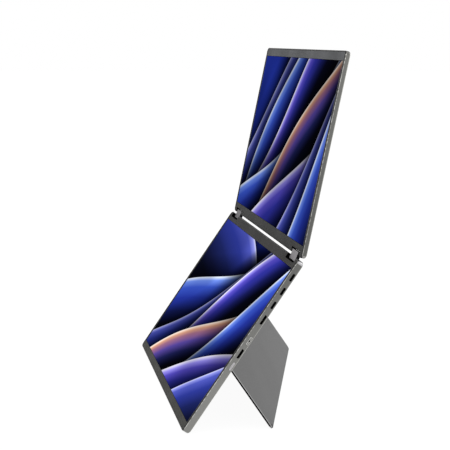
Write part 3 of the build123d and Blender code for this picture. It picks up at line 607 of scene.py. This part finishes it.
def laid_fold(tree, centred, behind, fold):
    """One fold of light laid over what is behind it, with a shade on what it covers."""
    turn, offset, swing, length, phase, fall, kind = fold
    angle = {"Vector": centred, "Angle": math.radians(-turn)}
    turned = add(tree, "VectorRotate", angle, rotation_type="Z_AXIS")
    axes = add(tree, "SeparateXYZ", {"Vector": turned}).outputs
    cycle = {0: axes["X"], 1: 1 / length, 2: phase}
    wave = add(tree, "Math", cycle, operation="MULTIPLY_ADD")
    wave = add(tree, "Math", {0: wave}, operation="SINE")
    crest = add(tree, "Math", {0: wave, 1: swing, 2: offset}, operation="MULTIPLY_ADD")
    below = add(tree, "Math", {0: crest, 1: axes["Y"]}, operation="SUBTRACT")
    light = fold_light(tree, turned, below, fall, RAMPS[kind])
    darkening = {
        "Value": below,
        "From Min": -SHADE_WIDTH,
        "From Max": 0.0,
        "To Min": 1.0,
        "To Max": SHADE_LIGHT,
    }
    shade = add(tree, "MapRange", darkening)
    behind = add(tree, "VectorMath", {0: behind, "Scale": shade}, operation="SCALE")
    return painted(tree, behind, (within(tree, below, 0.0, FOLD_END, 0.25), light))


def lit_glass(half):
    """Bonded cover glass with an anti-glare coat: the lit picture right at the surface,
    with no mirror image on it and a thin unlit edge."""
    made, tree, shader = new_material(f"lit_cover_glass_{half}", specular=0.0)
    where = flat_millimetres(tree, HALVES[half])
    low, high = flat_box(f"{half}_cover_glass", HALVES[half])
    middle = (low + high) / 2
    centred = add(tree, "VectorMath", {0: where, 1: middle}, operation="SUBTRACT")
    axes = add(tree, "SeparateXYZ", {"Vector": centred}).outputs
    haze = grain(tree, centred, HAZE_PATCH, detail=1.0)
    picture = painted(tree, "#0A0F36", (haze, "#20329A"))
    for fold in FOLDS[half]:
        picture = laid_fold(tree, centred, picture, fold)
    size = high - middle
    lit = both(
        tree,
        within(tree, axes["X"], UNLIT_EDGE - size.x, size.x - UNLIT_EDGE),
        within(tree, axes["Y"], UNLIT_EDGE - size.y, size.y - UNLIT_EDGE),
        grain(tree, where, PIXEL_WEAVE, 0.96 * GLOW[half], GLOW[half], detail=0.0),
    )
    rough = grain(tree, where, PIXEL_WEAVE, 0.14, 0.18)
    feed(shader, {"Base Color": colour("#030305"), "Roughness": rough})
    feed(shader, {"Emission Color": picture, "Emission Strength": lit})
    return made


# The materials. Each key is part of the names of the nodes that get its material.

BLACK_ZINC = ("#2A2A2D", "#3B3B3F", 0.34, 0.4)

MATERIALS = {
    # the same aluminium on both halves; the upper one is painted darker, as shade
    "lower_back_shell": blasted_shell("lower", "#868683", "#8D8D8A", "#3A3A39"),
    "upper_back_shell": blasted_shell("upper", "#6F6F6C", "#767673", "#0C0C0C"),
    "kickstand_plate": blasted_stand(),
    # a bezel's two colours are its painted light at its low and its high end
    "lower_front_frame": etched_bezel("lower", "#494946", "#3B3A39"),
    "upper_front_frame": etched_bezel("upper", "#3B3B3A", "#5F6062"),
    "lower_cover_glass": lit_glass("lower"),
    "upper_cover_glass": lit_glass("upper"),
    # tin-grey backing foil of the display, brushed in soft streaks across it
    "display_panel": plain_metal(
        "brushed_backing_foil", "#55565A", "#74757A", 0.38, 0.5, (0.05, 1, 1)
    ),
    # the same zinc on both links; the left one is painted darker, as shade
    "hinge_link_right": cast_link("right", "#7D7A7D", "#898689"),
    "hinge_link_left": cast_link("left", "#605E60", "#6B696B"),
    # black and glossy, like a small dark bead in the button
    "power_indicator_lens": moulded(
        "smoked_acrylic", "#08080A", "#101014", 0.16, 0.5, specular=0.5
    ),
    "power_button": button_metal(
        "bead_blasted_button", "power_button", "#8D8D8A", "#969693", "#E9E8E6", seat=0.9
    ),
    "menu_button": button_metal(
        "bead_blasted_ribbed_button", "menu_button", "#AFADAF", "#BDBBBD", "#C6C4C6"
    ),
    # dull black coat that hides the steel
    "bracket": moulded(
        "black_e_coated_steel", "#0A0A0B", "#121214", 0.58, 0.6, specular=0.12
    ),
    # near-black with a soft metal gloss
    "hinge_screws": plain_metal("black_zinc_screws", *BLACK_ZINC),
    "board_screws": plain_metal("black_zinc_board_screws", *BLACK_ZINC),
    # dark steel with fine rings round the pin
    "pin": plain_metal("turned_steel", "#3E3E41", "#5A5A5E", 0.34, 0.4, (1, 0.05, 0.05)),
    # sheet painted dark as the shade in the recessed sockets, so that they read as slots
    "socket": plain_metal(
        "nickel_sheet_painted_shade", "#131315", "#202022", 0.38, 0.5, (0.08, 1, 1)
    ),
    # dull near-black with a pebbled grain
    "bottom_foot_strip": moulded(
        "foot_rubber", "#141414", "#202020", 0.82, 0.5, depth=0.05, specular=0.2
    ),
    "main_board": solder_mask("solder_mask_main", LOWER),
    "upper_driver_board": solder_mask("solder_mask_driver", UPPER),
    # bright tin with the rolling lines of the sheet
    "board_shield": plain_metal(
        "tinned_shield_sheet", "#9C9DA0", "#B8B9BC", 0.32, 0.4, (1, 0.04, 1)
    ),
    "lower_display_ribbon": copper_film("polyimide_film_lower", LOWER),
    "upper_display_ribbon": copper_film("polyimide_film_upper", UPPER),
    # satin black
    "button_switches": moulded("switch_nylon", "#101012", "#1B1B1E", 0.5, 0.4),
}


def material_for(node_name):
    """The material whose key is the longest that the node's name holds."""
    keys = [key for key in MATERIALS if key in node_name]
    return MATERIALS[max(keys, key=len)]


for name, node in frame["nodes"].items():
    node.data.materials.clear()
    node.data.materials.append(material_for(name))


# Contacts on the socket tongues, made as rows of small bars

CONTACT_SIZE = (2.6, 0.25, 0.09)    # along the socket, across it, and height
CONTACT_ROWS = {"usb_c": (12, 0.5), "mini_hdmi": (10, 0.8)}    # count and pitch
TONGUE_THICKNESS = 0.7
CONTACT_SINK = 0.02           # how deep a contact sits in its tongue
CONTACT_DEPTH = 3.4           # from the body's side to the middle of a contact


def contact_tree(material):
    """Node group: a line of bars, with its count, pitch and bar size as named inputs."""
    tree = bpy.data.node_groups.new("contact_row", "GeometryNodeTree")
    kinds = {"Count": "NodeSocketInt", "Pitch": "NodeSocketFloat", "Bar": "NodeSocketVector"}
    tree.interface.new_socket("Geometry", in_out="INPUT", socket_type="NodeSocketGeometry")
    for name, kind in kinds.items():
        tree.interface.new_socket(name, in_out="INPUT", socket_type=kind)
    tree.interface.new_socket("Geometry", in_out="OUTPUT", socket_type="NodeSocketGeometry")
    given = add(tree, "NodeGroupInput").outputs
    step = add(tree, "ShaderNodeCombineXYZ", {"Y": given["Pitch"]})
    places = {"Count": given["Count"], "Offset": step}
    line = add(tree, "GeometryNodeMeshLine", places, mode="OFFSET")
    bar = add(tree, "GeometryNodeMeshCube", {"Size": given["Bar"]})
    placed = add(tree, "GeometryNodeInstanceOnPoints", {"Points": line, "Instance": bar})
    real = add(tree, "GeometryNodeRealizeInstances", {"Geometry": placed})
    dressed = add(tree, "GeometryNodeSetMaterial", {"Geometry": real, "Material": material})
    add(tree, "NodeGroupOutput", {"Geometry": dressed})
    return tree


def contact_row(tree, count, pitch):
    """Mesh of one row of contacts, from the node group."""
    holder = bpy.data.objects.new("row_holder", bpy.data.meshes.new("row_holder"))
    bpy.context.scene.collection.objects.link(holder)
    modifier = holder.modifiers.new("contacts", "NODES")
    modifier.node_group = tree
    values = {"Count": count, "Pitch": pitch * MM, "Bar": [side * MM for side in CONTACT_SIZE]}
    for item in tree.interface.items_tree:
        if item.in_out == "INPUT" and item.name in values:
            modifier[item.identifier] = values[item.name]
    bpy.context.view_layer.update()
    evaluated = holder.evaluated_get(bpy.context.evaluated_depsgraph_get())
    mesh = bpy.data.meshes.new_from_object(evaluated)
    bpy.data.objects.remove(holder)
    return mesh


def socket_contacts():
    """All the contacts, both sides of every tongue, as one piece."""
    # bright yellow metal, the one light thing in a dark socket
    gold = plain_metal("gold_plated_contact", "#B08A3C", "#D0A955", 0.28, 0.4)
    tree = contact_tree(gold)
    shape = bmesh.new()
    for kind, (count, pitch) in CONTACT_ROWS.items():
        row = contact_row(tree, count, pitch)
        for name in frame["nodes"]:
            if not name.startswith(kind):
                continue
            low, high = flat_box(name, LOWER)
            middle = (low + high) / 2
            for side in (-1, 1):
                lift = side * (TONGUE_THICKNESS / 2 + CONTACT_SIZE[2] / 2 - CONTACT_SINK)
                start = middle.y - (count - 1) * pitch / 2
                spot = Vector((high.x - CONTACT_DEPTH, start, middle.z + lift)) * MM
                place = LOWER @ Matrix.Translation(spot)
                before = len(shape.verts)
                shape.from_mesh(row)
                shape.verts.ensure_lookup_table()
                bmesh.ops.transform(shape, matrix=place, verts=shape.verts[before:])
    mesh = bpy.data.meshes.new("socket_contacts")
    shape.to_mesh(mesh)
    shape.free()
    mesh.materials.append(gold)
    piece = bpy.data.objects.new("socket_contacts", mesh)
    bpy.context.scene.collection.objects.link(piece)
    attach(piece, "base")


socket_contacts()


# Camera, floor and light

SENSOR_WIDTH = 36.0
CAMERA_LENS = 84.21
CAMERA_PLACE = (1153.3, -173.6, 394.7)    # millimetres
CAMERA_FORWARD = (-0.9630, 0.2055, -0.1742)
CAMERA_RIGHT = (0.209, 0.9779, 0.0021)
FLOOR_RADIUS = 12.0
FLOOR_GLOW = 0.945            # with the faint diffuse share on top the floor is white
WORLD_LIGHT = 0.7             # strength as a light; where it is seen it is 1
LAMP_TARGET = (0, 0.08, 0.2)


def photo_camera():
    """Camera at the photographed view."""
    data = bpy.data.cameras.new("camera")
    data.sensor_width = SENSOR_WIDTH
    data.lens = CAMERA_LENS
    camera = bpy.data.objects.new("camera", data)
    bpy.context.scene.collection.objects.link(camera)
    forward = Vector(CAMERA_FORWARD).normalized()
    up = Vector(CAMERA_RIGHT).cross(forward).normalized()
    right = forward.cross(up)
    turn = Matrix((right, up, -forward)).transposed()
    camera.matrix_world = Matrix.Translation(Vector(CAMERA_PLACE) * MM) @ turn.to_4x4()
    bpy.context.scene.camera = camera


def seen_rays(tree):
    """1 for the rays that show the background: camera, glossy and transmission rays."""
    rays = add(tree, "LightPath").outputs
    pair = {0: rays["Is Camera Ray"], 1: rays["Is Glossy Ray"]}
    seen = add(tree, "Math", pair, operation="MAXIMUM")
    return add(tree, "Math", {0: seen, 1: rays["Is Transmission Ray"]}, operation="MAXIMUM")


def white_floor():
    """Matt white floor that the camera sees as the white background, with a faint shadow."""
    mesh = bpy.data.meshes.new("floor")
    shape = bmesh.new()
    bmesh.ops.create_circle(shape, cap_ends=True, segments=64, radius=FLOOR_RADIUS)
    shape.to_mesh(mesh)
    shape.free()
    floor = bpy.data.objects.new("floor", mesh)
    bpy.context.scene.collection.objects.link(floor)
    made, tree, shader = new_material("white_floor", specular=0.0)
    feed(shader, {"Base Color": colour("#F3F3F3"), "Roughness": 0.9})
    glow = add(tree, "Emission", {"Color": (1, 1, 1, 1), "Strength": FLOOR_GLOW})
    faint = add(tree, "BsdfDiffuse", {"Color": colour("#626262")})
    shown = add(tree, "AddShader", {0: glow, 1: faint})
    mixed = add(tree, "MixShader", {0: seen_rays(tree), 1: shader, 2: shown})
    feed(tree.nodes["Material Output"], {"Surface": mixed})
    mesh.materials.append(made)


def white_world():
    """Even studio light, which the camera and the metals see as white."""
    world = bpy.data.worlds.new("studio")
    bpy.context.scene.world = world
    world.use_nodes = True
    tree = world.node_tree
    level = {"Value": seen_rays(tree), "To Min": WORLD_LIGHT, "To Max": 1.0}
    strength = add(tree, "MapRange", level)
    feed(tree.nodes["Background"], {"Color": (1, 1, 1, 1), "Strength": strength})


def softbox(name, towards, distance, size, power):
    """Square area lamp that looks at the monitor from a direction."""
    data = bpy.data.lights.new(name, "AREA")
    data.size = size
    data.energy = power
    lamp = bpy.data.objects.new(name, data)
    bpy.context.scene.collection.objects.link(lamp)
    away = Vector(towards).normalized()
    lamp.location = Vector(LAMP_TARGET) + away * distance
    lamp.rotation_euler = (-away).to_track_quat("-Z", "Y").to_euler()


photo_camera()
white_floor()
white_world()
softbox("behind_above", (0.03, 0.77, 0.64), distance=1.6, size=1.0, power=6)
softbox("front_above", (0.2, -0.8, 0.9), distance=1.8, size=1.2, power=5)

bpy.context.scene.view_settings.view_transform = "Standard"
